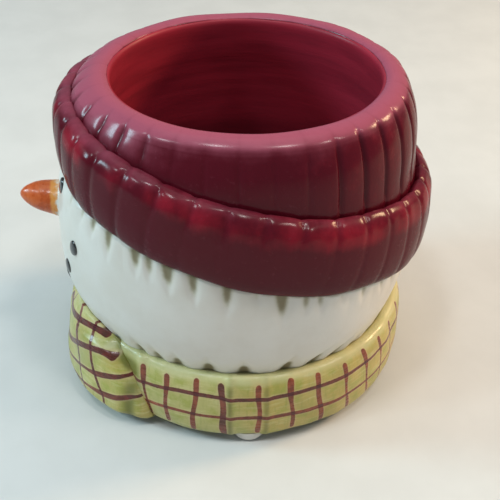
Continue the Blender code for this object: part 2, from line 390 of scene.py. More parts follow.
def maroon_glaze():
    """Hat glaze: darker where glaze pools in grooves, with painted shade under the brim's roll and in its
    joints, bright red where the glaze runs thinly and with painted light along the brim's crest, and a
    painted pink sheen on surfaces that face up.
    """
    wall, bright, pale_sheen = (0.084, 0.0035, 0.0105), (0.25, 0.009, 0.021), (0.37, 0.088, 0.135)
    g = Glaze("maroon_glaze_look")
    cloud = g.noise(9, 4, 0.6)
    fine = g.noise(1.6, 4, 0.6)
    streak = g.noise(3.2, 3, 0.6, stretch=(1, 1, 6))
    # bright red where the glaze runs thinly over ribs and edges, and painted light along the brim's crest
    thin_and_lit = g.uneven(g.uneven(g.mark("thin_and_lit"), cloud, 0.7), streak, 0.3)
    colour = g.blend(g.span(thin_and_lit, 0.25, 0.95), wall, bright)
    # painted sheen: the top mark turns glaze that faces up towards a dusty pink that stands in for
    # reflected light
    top = g.uneven(g.mark("top"), cloud, 0.5)
    colour = g.blend(g.span(top, 0.1, 1.0, 0, 0.9), colour, pale_sheen)
    # darker where glaze pools in grooves, and painted shade under the brim's roll and in the joints between
    # crown and brim
    colour = g.blend(g.span(g.mark("pool_and_shade"), 0.15, 0.9, 0, 0.55), colour, tuple(c * 0.45 for c in wall))
    dust = g.span(fine, 0.60, 0.78, 0, 0.18)
    colour = g.blend(dust, colour, (0.22, 0.05, 0.075))
    rough = g.maths("ADD", g.span(cloud, 0.3, 0.7, 0.17, 0.26), g.span(fine, 0.4, 0.7, 0.0, 0.05))
    return g.finish(colour, rough, g.relief((cloud, 0.6), (fine, 0.25)), 0.25, coat=0.15, coat_rough=0.2,
                    specular=0.02, coat_ior=1.9)


def lining_glaze():
    """Brighter red inside the pot, with rings left by the brush, and painted shade that darkens it with
    depth.
    """
    g = Glaze("lining_glaze_look")
    rings = g.noise(1.5, 4, 0.6, stretch=(14, 14, 1))
    broad = g.noise(5, 3, 0.5, stretch=(7, 7, 1))
    cloud = g.noise(20, 3, 0.6)
    colour = g.blend(g.span(broad, 0.35, 0.65), (0.27, 0.017, 0.034), (0.35, 0.022, 0.043))
    colour = g.blend(g.span(rings, 0.45, 0.7, 0, 0.16), colour, (0.20, 0.014, 0.028))
    colour = g.blend(g.span(cloud, 0.35, 0.75, 0, 0.3), colour, (0.40, 0.022, 0.045))
    # painted shade: the lining turns nearly black towards the bottom of the well
    colour = g.blend(g.span(g.mark("depth_shade"), 0.0, 1.0, 0, 0.93), colour, (0.042, 0.003, 0.007))
    rough = g.span(rings, 0.3, 0.7, 0.34, 0.48)
    return g.finish(colour, rough, g.relief((rings, 0.5), (broad, 0.6)), 0.16, specular=0.25)


def white_glaze():
    """Warm white glaze with faint specks, and an olive-brown wash wiped thinly into the gathers."""
    g = Glaze("white_glaze_look")
    cloud = g.noise(16, 4, 0.55)
    fine = g.noise(1.3, 4, 0.65)
    colour = g.blend(g.span(cloud, 0.3, 0.7), (0.68, 0.635, 0.57), (0.73, 0.695, 0.64))
    colour = g.blend(g.span(g.spots(2.6), 0.0, 0.09, 0.22, 0.0), colour, (0.42, 0.38, 0.28))
    wash = g.span(g.uneven(g.mark("wash"), fine, 0.35), 0.10, 1.0, 0, 0.93)
    stain = g.blend(g.span(g.mark("wash"), 0.35, 1.0), (0.42, 0.385, 0.24), (0.185, 0.145, 0.065))
    colour = g.blend(wash, colour, stain)
    rough = g.maths("ADD", g.span(cloud, 0.3, 0.7, 0.30, 0.40), g.maths("MULTIPLY", wash, 0.12))
    return g.finish(colour, rough, g.relief((cloud, 0.7), (fine, 0.12)), 0.3, coat=0.15,
                    coat_rough=0.2, specular=0.35)


def scarf_glaze():
    """Yellow-green brushed glaze with hand-painted plaid lines, thick at their heads."""
    g = Glaze("scarf_glaze_look")
    cloud = g.noise(7, 4, 0.6)
    brush = g.noise(1.1, 4, 0.65, stretch=(9, 9, 1))
    strand = g.noise(0.9, 3, 0.6, stretch=(1, 1, 7))
    fine = g.noise(0.8, 3, 0.6)
    # yellower where the mark is high: painted warmer light on the half towards the back, and random tone
    colour = g.blend(g.span(g.mark("warm_tone_and_light"), 0, 1), (0.50, 0.455, 0.16), (0.50, 0.39, 0.10))
    colour = g.blend(g.span(cloud, 0.44, 0.64, 0, 0.75), colour, (0.34, 0.35, 0.055))
    colour = g.blend(g.span(brush, 0.48, 0.72, 0, 0.6), colour, (0.66, 0.60, 0.30))
    colour = g.blend(g.span(strand, 0.50, 0.75, 0, 0.42), colour, (0.29, 0.29, 0.05))
    # painted highlight: paler yellow on the rolled top of the band and the knot, with random paler patches
    colour = g.blend(g.span(g.mark("pale_sheen"), 0.0, 1.0, 0, 0.7), colour, (0.62, 0.58, 0.33))
    colour = g.blend(g.span(g.mark("shade"), 0.0, 1.0, 0, 0.85), colour, (0.125, 0.12, 0.018))
    across, down = (g.span(g.uneven(g.mark(key), fine, 0.32), -0.14, 0.16, 1.0, 0.0)
                    for key in ("across", "down"))
    halo = g.span(g.maths("MINIMUM", g.mark("across"), g.mark("down")), 0.05, 1.0, 0.30, 0.0)
    colour = g.blend(halo, colour, (0.66, 0.44, 0.26))
    load = g.span(g.noise(2.2, 3, 0.6), 0.35, 0.7)
    rust = g.blend(load, (0.21, 0.026, 0.014), (0.36, 0.070, 0.028))
    wine = g.blend(load, (0.065, 0.004, 0.007), (0.14, 0.011, 0.016))
    for line, strength, key in ((down, 0.94, "wine_down"), (across, 0.95, "wine_across")):
        ink = g.blend(g.mark(key), rust, wine)
        colour = g.blend(g.maths("MULTIPLY", line, strength), colour, ink)
    both = g.maths("MULTIPLY", across, down)
    colour = g.blend(g.maths("MULTIPLY", both, 0.75), colour, (0.07, 0.006, 0.010))
    rough = g.span(brush, 0.3, 0.7, 0.30, 0.42)
    painted = g.maths("MAXIMUM", across, down)
    rough = g.maths("SUBTRACT", rough, g.maths("MULTIPLY", painted, 0.08))
    return g.finish(colour, rough, g.relief((cloud, 0.5), (brush, 0.3), (painted, 0.25)), 0.3,
                    coat=0.15, coat_rough=0.14, specular=0.35)


def nose_glaze():
    """Orange with darker rings, yellower and then bare white at the nose's root."""
    g = Glaze("nose_glaze_look")
    cloud = g.noise(4, 4, 0.6)
    rings = g.noise(1.0, 3, 0.6, stretch=(6, 1, 6))
    colour = g.blend(g.span(cloud, 0.35, 0.7), (0.52, 0.085, 0.016), (0.62, 0.135, 0.03))
    colour = g.blend(g.span(rings, 0.5, 0.72, 0, 0.4), colour, (0.40, 0.065, 0.012))
    edge = g.uneven(g.mark("base"), cloud, 0.5)
    colour = g.blend(g.span(edge, 0.35, 0.7, 0, 0.75), colour, (0.74, 0.33, 0.07))
    colour = g.blend(g.span(edge, 0.84, 0.97), colour, (0.68, 0.66, 0.60))
    rough = g.span(cloud, 0.3, 0.7, 0.24, 0.34)
    return g.finish(colour, rough, g.relief((cloud, 1.0), (rings, 0.5)), 0.15, coat=0.2,
                    coat_rough=0.15, specular=0.35)


def coal_glaze():
    """Nearly black gloss, with slightly greyer patches."""
    g = Glaze("coal_glaze_look")
    cloud = g.noise(1.8, 3, 0.6)
    colour = g.blend(g.span(cloud, 0.35, 0.7), (0.006, 0.006, 0.007), (0.022, 0.020, 0.020))
    rough = g.span(cloud, 0.3, 0.7, 0.12, 0.22)
    return g.finish(colour, rough, cloud, 0.08, coat=0.6, coat_rough=0.06)


def underside_clay():
    """Bare clay with dark grit."""
    g = Glaze("underside_look")
    cloud = g.noise(8, 4, 0.6)
    grit = g.noise(0.7, 4, 0.7)
    colour = g.blend(g.span(cloud, 0.3, 0.7), (0.50, 0.46, 0.38), (0.60, 0.56, 0.48))
    colour = g.blend(g.span(grit, 0.58, 0.75, 0, 0.45), colour, (0.30, 0.26, 0.20))
    rough = g.span(grit, 0.3, 0.7, 0.7, 0.9)
    return g.finish(colour, rough, g.maths("ADD", cloud, grit), 0.25)


# ---------------- the hat


CROWN_TOP = 109.5  # where the lip's line ends and the crown's wall begins
# (radius, share of the way down) over the rolled brim, below its ledge.
BRIM_ROLL = [(64.3, 0.085), (65.7, 0.19), (66.35, 0.36), (66.6, 0.58), (66.15, 0.78), (65.4, 0.90),
             (64.5, 0.965)]
BRIM_REACH = 67.1  # the most that the uneven brim may reach
BRIM_SLOPE = 0.2235  # the tilted brim's rise for each millimetre towards the face


def hat_crown(finish):
    theta = np.arange(SIDES) * 360 / SIDES
    lip_r, lip_z = (np.broadcast_to(a, (a.shape[0], SIDES)) for a in spline(LIP, 4))
    floor = gutter(theta)[1]
    low = floor - 2.0
    wall_z = CROWN_TOP + (low - CROWN_TOP) * np.linspace(0, 1, 46)[1:, None]
    z = np.concatenate([lip_z, wall_z])
    radius = flared(np.concatenate([lip_r, crown_radius(wall_z)]), z, theta)
    nr, nz = outwards(radius, z)
    side = np.abs(wrap(theta))
    # the grooves reach the lip near the face and round the back, and are widest near the face
    ends = np.clip(1 - smooth(side, 45, 72) + smooth(side, 100, 125), 0, 1)
    near_face = 1 - smooth(side, 50, 75)
    lean = theta + 0.5 * waver(theta, z, 12, 9, 0.05)
    cut = groove(lean, CROWN_GROOVE, 59, 0.85 + 0.45 * near_face)
    fade = 1 - smooth(z, 104.5 + 4.5 * ends, 111.0 + 2.8 * ends)
    fade = fade * smooth(radius, 52 - 2.5 * ends, 55.5 - 1.8 * ends) * (0.38 + 0.62 * ends)
    fade = fade * (0.5 + 0.5 * smooth(z - floor, 0.5, 5))
    push = -(1.15 - 0.2 * near_face) * cut * fade * per_rib(theta, CROWN_GROOVE, 31, 0.75, 1.15)
    push += 0.18 * waver(theta, z, 21, 12, 0.06) * smooth(radius, 50, 56)
    push += 0.16 * waver(theta, z, 5, 12) * smooth(radius, 45, 47)
    radius, z = radius + push * nr, np.minimum(z + push * nz, HIGHEST)
    front = smooth(crest(theta), 102, 106)
    # painted sheen: glaze that faces up gets the dusty pink of reflected light, with more of it on the face
    # side
    top = smooth(nz, 0.15, 1.0) ** 1.3 * (1 - 0.12 * cut)
    marks = {
        "thin_and_lit": 0.22 * (1 - cut) * fade + 0.3 * bell(radius - 46.4, 0.8) + 0.12,
        "top": np.clip(top + 0.22 * (1 - smooth(side, 35, 75)) * (1 - cut), 0, 1),
        # grooves darker where glaze pools, and darker in the gutter where the crown meets the brim
        "pool_and_shade": cut * fade * 0.75 + 0.4 * (1 - 0.6 * front) * bell(z - floor, 1.4),
    }
    hidden = [(56.6 - 1.6 * towards_face(theta), low + 0.2), (51.2, 103.5)]
    hoop("hat_crown_glazed", theta, radius, z, hidden, marks, finish,
         ["hat_crown"])


def hat_brim(finish):
    theta = np.arange(SIDES) * 360 / SIDES
    top, low = crest(theta), seam(theta)
    drop = low - top
    out = -0.5 * cosd(theta) - 0.15 + 0.25 * waver(theta, 0, 17, 7)
    ledge = 62.7 + out
    inner, floor = gutter(theta)
    points = [
        (inner - 2.0, floor - 2.2),
        (inner - 0.55, floor - 0.9),
        (inner + 0.15, floor - 0.05),
        (inner + 0.5 * (ledge - inner), top + 0.2 * (floor - top) - 0.2),
        (ledge, top + 0.03 * drop),
        *[(reach + out, top + share * drop) for reach, share in BRIM_ROLL],
        (63.4 + out, low + 0.05),
        (62.2 + out, low + 0.25),
    ]
    radius, z = spline(points, [3, 4, 5, 5, 5, 5, 6, 7, 7, 6, 5, 4, 3])
    share = np.clip((z - top) / drop, -0.2, 1.05)
    nr, nz = outwards(radius, z)
    # the brim's grooves stay square to its tilted edge
    slant = np.degrees(BRIM_SLOPE * (z - (top + low) / 2) * sind(theta) / 65)
    lean = theta - slant + 0.6 * waver(theta, z, 41, 9, 0.04)
    cut = groove(lean, BRIM_GROOVE, 65, 1.25)
    side = np.abs(wrap(theta))
    wall_depth = 0.08 + 0.52 * (1 - smooth(side, 45, 75)) + 0.20 * smooth(side, 100, 130)
    shoulder = smooth(share, -0.03, 0.05) * (1 - smooth(share, 0.14, 0.42))
    depth = (wall_depth + (0.52 - wall_depth * 0.6) * shoulder) * smooth(share, -0.04, 0.04)
    depth *= per_rib(theta, BRIM_GROOVE, 77, 0.7, 1.2) * (1 - 0.6 * smooth(share, 0.9, 1.0))
    lumps = 0.28 * waver(theta, z, 51, 12, 0.08) + 0.22 * waver(theta, z, 52, 40, 0.25) * shoulder
    push = (-1.1 * cut * depth + lumps * smooth(share, 0.0, 0.15)) * (1 - smooth(share, 0.97, 1.02))
    radius, z = np.minimum(radius + push * nr, BRIM_REACH), z + push * nz
    # a brighter red band along the crest that lightens towards the brim's top: glaze running thinly over
    # the ridge, and painted light where the crest catches it
    ridge = bell(share - 0.14, 0.17) * (1 - cut * 0.25)
    rear = smooth(wrap(theta), 75, 100)
    patches = 0.40 + 0.26 * waver(theta, z, 61, 26, 0.3) * (1 - 0.6 * rear)
    marks = {
        "thin_and_lit": patches * ridge + 0.25 * rear * bell(share - 0.27, 0.1) + 0.14 * (1 - share),
        # painted sheen on the ledge and roll where they face up
        "top": 0.30 * smooth(nz, 0.1, 1.0) + 0.2 * smooth(nz, 0.5, 1.0) * smooth(top, 99, 106),
        # painted shade: darker down the roll's lower half, under its edge and in the joint at the ledge;
        # grooves darker where glaze pools
        "pool_and_shade": (0.6 * cut * depth + 0.25 * bell(share, 0.02) * (1 - smooth(top, 102, 106))
                 + 0.35 * smooth(share, 0.45, 1.0) + 0.5 * smooth(share, 0.93, 1.0)),
    }
    hidden = [(60.3 + np.minimum(out, 0), low + 1.4),
              (np.minimum(58.6, crown_radius(low + 4) - 1.0), low + 4),
              (inner - 3.4, floor - 1.8)]
    hoop("hat_brim_glazed", theta, radius, z, hidden, marks, finish,
         ["hat_cuff"])


# ---------------- the head

# Gathers under the brim: (angle, width mm, length mm, strength).
GATHERS = [(22, 2.2, 5, 0.5), (30, 2.4, 4.5, 0.6), (36, 2.8, 6, 0.8), (43, 3.4, 9, 0.9),
           (53, 4.2, 8, 0.95), (57.5, 3.0, 7.5, 0.8), (63.5, 4.6, 9, 1.0), (71, 3.4, 9.5, 0.9),
           (81, 3.4, 10, 0.9), (89, 1.6, 4, 0.45), (96.5, 4.4, 11, 1.0), (104, 2.6, 7, 0.75),
           (108.5, 2.4, 6.5, 0.7), (116, 1.6, 4.5, 0.4), (125, 2.6, 6, 0.7), (134, 2.4, 6, 0.6)]
# Folds above the scarf: (angle, width mm, height mm, strength, lean in degrees at the tip).
FOLDS = [(30, 3, 3.2, 0.55, 0), (38, 3.2, 3.2, 0.6, 0), (49, 4.6, 5.2, 0.9, -1), (56, 4.4, 5, 0.85, -1),
         (63, 4.4, 5, 0.9, 0), (74, 5.2, 5.4, 1.0, 0), (86, 5.4, 5.4, 1.0, 0), (100, 5.2, 5, 1.0, 2),
         (110, 5.2, 4.8, 0.95, 4), (118.5, 5.2, 4.8, 0.9, 5), (128, 5.0, 4.4, 0.8, 6),
         (138, 4.4, 4.0, 0.6, 6)]


def all_round(seen, seed, step, spread):
    """The folds given, carried on round the rest of the pot about a step apart."""
    dice = np.random.default_rng(seed)
    rows = list(seen)
    at = seen[-1][0] + step
    while at < 360 + seen[0][0] - step * 0.7:
        model = seen[dice.integers(3, len(seen) - 1)]
        near_face = 0.75 if at > 335 else 1.0
        rows.append((at, model[1] * dice.uniform(0.8, 1.1), model[2] * dice.uniform(0.8, 1.1),
                     model[3] * near_face, *[x * 0.4 for x in model[4:]]))
        at += step * dice.uniform(1 - spread, 1 + spread)
    return rows


HEAD_LOW = 24.6  # the head's lower edge, tucked behind the scarf
SCARF_TOP = 26.6
CROWDING = 0.4455  # how much closer together rows lie near both ends, where the gathers are


def snow_head(finish):
    sides, rows = 900, 96
    angles = np.arange(sides) * 360 / sides
    high = seam(angles) + 0.9
    share = np.linspace(0, 1, rows)[:, None]
    share = share - CROWDING * np.sin(2 * np.pi * share) / (2 * np.pi)
    z = HEAD_LOW + (high - HEAD_LOW) * share
    theta = np.broadcast_to(angles, z.shape)
    radius = head_radius(theta, z)
    # a soft minimum keeps the head's top inside the brim
    limit = 63.5 - 0.5 * cosd(theta) + 0.55 * (high - z)
    radius = -np.logaddexp(-radius * 2.2, -limit * 2.2) / 2.2
    below, above = seam(angles) - z, z - SCARF_TOP
    wash, dent = np.zeros_like(z), np.zeros_like(z)
    for at, width, length, strength in all_round(GATHERS, 5, 8.6, 0.28):
        along = below / length
        off = arc(np.abs(wrap(theta - at - 0.5 * np.sin(at) * along)), radius)
        half = width / 2 * np.clip(1.12 - along, 0, 1.1) ** 0.7 + 0.5
        mask = (1 - smooth(off / half, 0.1, 1.5)) * (1 - smooth(along, 0.45, 1.2))
        wash = np.maximum(wash, 1.15 * strength * mask * (0.72 + 0.28 * (1 - np.clip(along, 0, 1))))
        dent = np.maximum(dent, strength * bell(off, half * 0.9 + 0.5) * (1 - smooth(along, 0.5, 1.5)))
    for at, width, tall, strength, lean in all_round(FOLDS, 8, 10.2, 0.16):
        along = above / tall
        off = arc(wrap(theta - at - lean * np.clip(along, 0, 2)), radius)
        # a leaning fold is steeper on the side that it leans away from
        steep = off < 0 if lean >= 0 else off > 0
        off = np.where(steep, off * (1 + 0.10 * abs(lean)), off)
        half = width / 2 * np.clip(1.10 - along, 0, 1.1) ** 0.6 + 0.4
        mask = (1 - smooth(np.abs(off) / half, 0.2, 1.45)) * (1 - smooth(along, 0.5, 1.15))
        wash = np.maximum(wash, strength * mask)
        hollow = bell(off, half * 0.8 + 0.8) * (1 - smooth(along, 0.4, 1.9))
        dent = np.maximum(dent, 1.35 * strength * hollow)
    # a dark band at the scarf's top edge, and a brown band right under the brim's edge that is stronger
    # towards the back
    wash = np.maximum(wash, 0.85 * bell(above + 0.4, 0.75))
    rear = smooth(wrap(theta), 84, 100) * (1 - smooth(wrap(theta), 150, 175))
    wash = np.maximum(wash, (0.20 + 0.45 * rear) * (1 - smooth(below, 0.4, 1.5 + 0.8 * rear)))
    swell = np.abs(np.sin(np.radians(theta * 18 + 40 * waver(theta, 0, 3, 5))))
    radius = radius - 0.85 * dent + 0.35 * swell * (1 - smooth(below, 4, 15))
    radius = radius + 0.14 * waver(theta, z, 71, 10, 0.12)
    # a groove right under the brim lets its edge read
    radius = radius - 0.5 * (1 - smooth(below, -0.2, 1.4))
    hidden = [(57.6, high - 0.3), (55.6, 24.4)]
    hoop("snow_head_glazed", angles, radius, z, hidden, {"wash": wash}, finish,
         ["head_shell"])


# ---------------- the scarf

# Painted down-strokes on the band: (angle, lean, head, middle and foot widths in mm, wine share).
STROKES = [(52.4, 1.2, 1.9, 0.8, 1.7, 0.75), (60.3, 0.0, 2.0, 1.35, 1.7, 0.45),
           (70, -0.8, 1.9, 1.5, 1.9, 0.35), (79.4, 0.4, 2.2, 1.9, 2.5, 0.95),
           (91, 0.0, 1.9, 1.35, 1.8, 0.2), (102, 0.7, 2.3, 1.3, 1.5, 0.25),
           (112, 1.3, 1.9, 1.7, 1.8, 0.3), (122.8, 1.5, 1.9, 1.1, 1.6, 0.35),
           (132.8, 2.0, 2.0, 0.9, 1.3, 0.45), (141.7, 1.4, 1.6, 0.7, 0.8, 0.4),
           (151, 1.0, 1.8, 0.9, 1.2, 0.4)]
# Painted lines round the band: (height, seed of its waver, wine share).
LINES = [(18.9, 1, 0.85), (9.7, 2, 0.35)]
MADE_UP_FROM, MADE_UP_TO = 161.0, 304.0  # angles of the first and about the last made-up stroke


def stroke_rows():
    """The strokes given, carried on round the pot to the knot's far side."""
    dice = np.random.default_rng(14)
    rows = list(STROKES)
    at = MADE_UP_FROM
    while at < MADE_UP_TO:
        rows.append((at, dice.uniform(-1.2, 1.2), dice.uniform(1.7, 2.3), dice.uniform(0.9, 1.6),
                     dice.uniform(1.3, 2.0), dice.uniform(0.2, 0.8)))
        at += dice.uniform(8.9, 10.6)
    return rows


def ink_marks(theta, z, radius):
    """Distances, in mm, from the painted lines of the band, and how wine-red each line is."""
    down, wine = np.full(z.shape, FAR), np.zeros(z.shape)
    for number, (at, lean, head, middle, foot, dark) in enumerate(stroke_rows()):
        top = 24.6 - 0.5 * math.sin(number * 2.1)
        low = 1.9 + 0.8 * math.sin(number * 1.7)
        centre = at + lean * (12.5 - z) / 12.5 + 0.28 * np.sin(z * 0.33 + number)
        off = arc(wrap(theta - centre), radius)
        half = table([(0, foot * 0.4), (4, foot * 0.54), (9, middle * 0.58), (15, middle * 0.56),
                      (19, head * 0.5), (23, head * 0.54), (26, head * 0.48)], z)
        past = np.maximum(0, np.maximum(z - top + half * 0.8, low - z))
        away = np.hypot(off, past) - half
        wine = np.where(away < down, dark * (0.85 + 0.3 * np.sin(z * 0.5 + number)), wine)
        down = np.minimum(down, away)
    across, dark_across = np.full(z.shape, FAR), np.zeros(z.shape)
    for level, seed, dark in LINES:
        centre = level + 0.30 * waver(theta, 0, seed, 11)
        centre = centre - 1.6 * bell(wrap(theta) - 52, 7)
        half = 0.76 + 0.10 * waver(theta, 0, seed + 6, 13) + 0.12 * bell(wrap(theta) - 96, 18)
        half = half - 0.14 * smooth(wrap(theta), 118, 140) * (1 - smooth(wrap(theta), 170, 179))
        away = np.abs(z - centre) - half
        tone = dark + 0.25 * waver(theta, 0, seed + 20, 7)
        dark_across = np.where(away < across, tone, dark_across)
        across = np.minimum(across, away)
    return down, across, np.clip(wine, 0, 1), np.clip(dark_across, 0, 1)


# (radius, height) over the band's outside.
BAND = [(57.2, -0.1), (59.4, 0.0), (60.6, 0.7), (61.3, 2.6), (61.8, 6), (61.95, 10), (61.8, 15),
        (61.5, 19), (61.0, 22.3), (60.3, 24.6), (59.3, 26.0), (58.0, 26.6), (56.6, 26.4)]
BAND_TOP = 26.9


def scarf_band(finish):
    sides = 1440
    theta = np.arange(sides) * 360 / sides
    radius, z = spline(BAND, [2, 3, 3, 4, 5, 5, 4, 4, 4, 4, 3, 3])
    radius = radius + SCARF_FRONT * face_share(theta)
    z = np.broadcast_to(z, radius.shape)
    nr, nz = outwards(radius, z)
    lump = 0.30 * waver(theta, z, 81, 14, 0.08) + 0.10 * waver(theta, z, 82, 34, 0.2)
    # shallow hollows beside two strokes, and where the band comes out from under the knot
    lump -= 0.55 * bell(wrap(theta) - 81.8, 1.6) + 0.45 * bell(wrap(theta) - 93.6, 1.6)
    lump -= 0.9 * bell(np.abs(wrap(theta)) - 50, 2.2)
    lump *= smooth(radius, 56, 59)
    radius, z = radius + lump * nr, np.clip(z + lump * nz, 0.0, BAND_TOP)
    down, across, wine, dark = ink_marks(np.broadcast_to(theta, z.shape), z, 61.8)
    near_knot = 1 - smooth(np.abs(wrap(theta)), 48, 53)
    shade = 0.75 * bell(wrap(theta) - 81.6, 1.3) + 0.6 * bell(wrap(theta) - 93.4, 1.2)
    shade = shade + 0.8 * near_knot + 0.7 * bell(z + 0.2, 0.8) * smooth(radius, 57, 60)
    shade = shade + 0.25 * np.clip(waver(theta, z, 91, 26, 0.3), 0, 1)
    marks = {
        "down": down, "across": across, "wine_down": wine, "wine_across": dark,
        # painted warmer light from the pot's side round to its back, with random tone
        "warm_tone_and_light": np.clip(smooth(wrap(theta), 76, 100) + 0.25 * waver(theta, z, 92, 9), 0, 1),
        # painted highlight along the band's rolled top, with random paler patches
        "pale_sheen": smooth(z, 22.5, 26) * 0.8 + 0.25 * np.clip(waver(theta, z, 93, 16, 0.3), 0, 1),
        "shade": np.clip(shade, 0, 1) * (1 - 0.6 * smooth(z, 22, 25)),
    }
    hoop("scarf_band_glazed", theta, radius, z, [(55.2, 26.0), (55.2, 0.3)], marks, finish,
         ["scarf_band"])


# The knot's half angle and thickness, by the share of the way up.
KNOT_HALF = [(0, 54), (0.2, 53), (0.5, 50.5), (0.8, 45.5), (1.0, 39)]
KNOT_THICK = [(0, 8.2), (0.1, 8.5), (0.2, 8.1), (0.37, 7.3), (0.56, 6.5), (0.74, 5.9), (0.84, 5.2),
              (0.92, 3.4), (1.0, 1.0)]

# Painted lines on the knot's left half as (angle, mm up along the cloth, half width in mm).
KNOT_ACROSS = [
    [(0, 21, 0.9), (8, 23, 1.05), (13.3, 24.6), (20.4, 27.8), (26.4, 29.9), (31, 30.6), (34.4, 30.3, 1.2)],
    [(0, 13, 0.9), (9, 13.4, 0.95), (17, 15), (25.7, 21), (33.7, 24.1), (37.8, 24.6), (40.8, 24, 1.1)],
    [(0, 7.4, 0.5), (12, 7.6, 0.5), (20.4, 9.2, 0.55), (29.4, 13.6, 0.6), (33, 14.6, 0.7),
     (36.8, 15.5, 1.15), (42.9, 17.6, 1.0), (47, 18.6, 0.6), (53, 18.2, 0.5)],
    [(0, 2.6, 0.45), (14, 3, 0.5), (22.9, 4.1, 0.55), (30.5, 6.8, 0.6), (34, 7.6, 0.7), (39, 8, 1.2),
     (46.3, 9.8, 1.1), (50.3, 11, 0.6), (55, 10.6, 0.5)],
]
KNOT_DOWN = [
    [(18.6, 33, 0.8), (20, 30.6, 0.95), (21.1, 28.2, 0.9), (22.8, 24), (25.4, 18.4, 0.8),
     (27.4, 12.4, 0.65), (29.4, 7, 0.5), (32, 3.2, 0.4)],
    [(29.2, 32.4, 0.6), (29.8, 29, 0.6), (31.7, 24, 0.6), (34, 18, 0.65), (36.7, 12.2, 0.6),
     (38.9, 7.4, 0.5), (39.8, 2, 0.4)],
    [(5.4, 31, 0.6), (7, 24, 0.8), (9.6, 14, 0.6), (12, 5, 0.45), (13.6, 1, 0.4)],
    [(-9, 31, 0.5), (-7.6, 20, 0.75), (-6.4, 10, 0.55), (-5.6, 1, 0.4)],
]
LINE_HALF = 1.1  # half width in mm where a line's point gives none
DEGREE_MM = 1.13  # a degree's length in mm round the knot


def near_line(theta, z, line):
    """Distance in mm from a painted line, less its half width there."""
    points = [row if len(row) == 3 else (*row, LINE_HALF) for row in line]
    rows = spline(points, 5)[:, :, 0].T
    x = theta * DEGREE_MM
    best = np.full(z.shape, 99.0)
    for (a0, z0, w0), (a1, z1, w1) in zip(rows, rows[1:]):
        x0, dx, dz = a0 * DEGREE_MM, (a1 - a0) * DEGREE_MM, z1 - z0
        t = np.clip(((x - x0) * dx + (z - z0) * dz) / (dx * dx + dz * dz + 1e-9), 0, 1)
        best = np.minimum(best, np.hypot(x - x0 - t * dx, z - z0 - t * dz) - (w0 + (w1 - w0) * t))
    return best


def crease_offset(theta, run, start):
    """Degrees past the crease that runs out and down from the knot's top corner."""
    return np.abs(theta) - (start + (28.2 - run) * 0.9)


def fold_offset(theta, z):
    """Degrees past the fold that runs down the knot's middle."""
    return theta + 3 + (z - 14) * 0.35


def knot_marks(theta, z, run, share):
    side = np.abs(theta)
    # the right-hand half carries the same plaid mirrored, as if the cloth were one piece
    plaid = np.where(theta < -10, -theta - 1.5, theta)
    low_fade = 1 - smooth(z, 6, 12)
    return {
        "across": np.min([near_line(plaid, run, line) for line in KNOT_ACROSS], axis=0),
        "down": np.min([near_line(plaid, run, line) for line in KNOT_DOWN], axis=0),
        "wine_down": np.clip(0.75 + 0.3 * waver(theta * 4, z, 111, 6, 0.3), 0, 1),
        "wine_across": np.clip(1.0 - 0.35 * low_fade + 0.2 * waver(theta * 4, z, 112, 6, 0.3), 0, 1),
        "warm_tone_and_light": np.clip(0.35 + 0.6 * waver(theta * 3, z, 113, 6, 0.2) + 0.4 * (1 - smooth(z, 2, 12)), 0, 1),
        # painted highlight at the knot's top corner and along its top edge
        "pale_sheen": (0.9 * bell(side - 37.5, 1.8) * bell(run - 27.5, 2.0)
                 + 0.6 * smooth(share, 0.95, 1.0) * (1 - smooth(side, 30, 36))),
        "shade": np.clip(0.75 * bell(crease_offset(theta, run, 39.2), 1.0) * smooth(run, 17, 22)
                         + 0.9 * bell(side - 48.2, 2.2) * (1 - smooth(z, 13, 19))
                         + 0.35 * np.clip(waver(theta * 3, z, 114, 8, 0.3), 0, 1)
                         + 0.5 * bell(z, 0.7) + 0.6 * bell(fold_offset(theta, z), 1.2), 0, 1),
    }


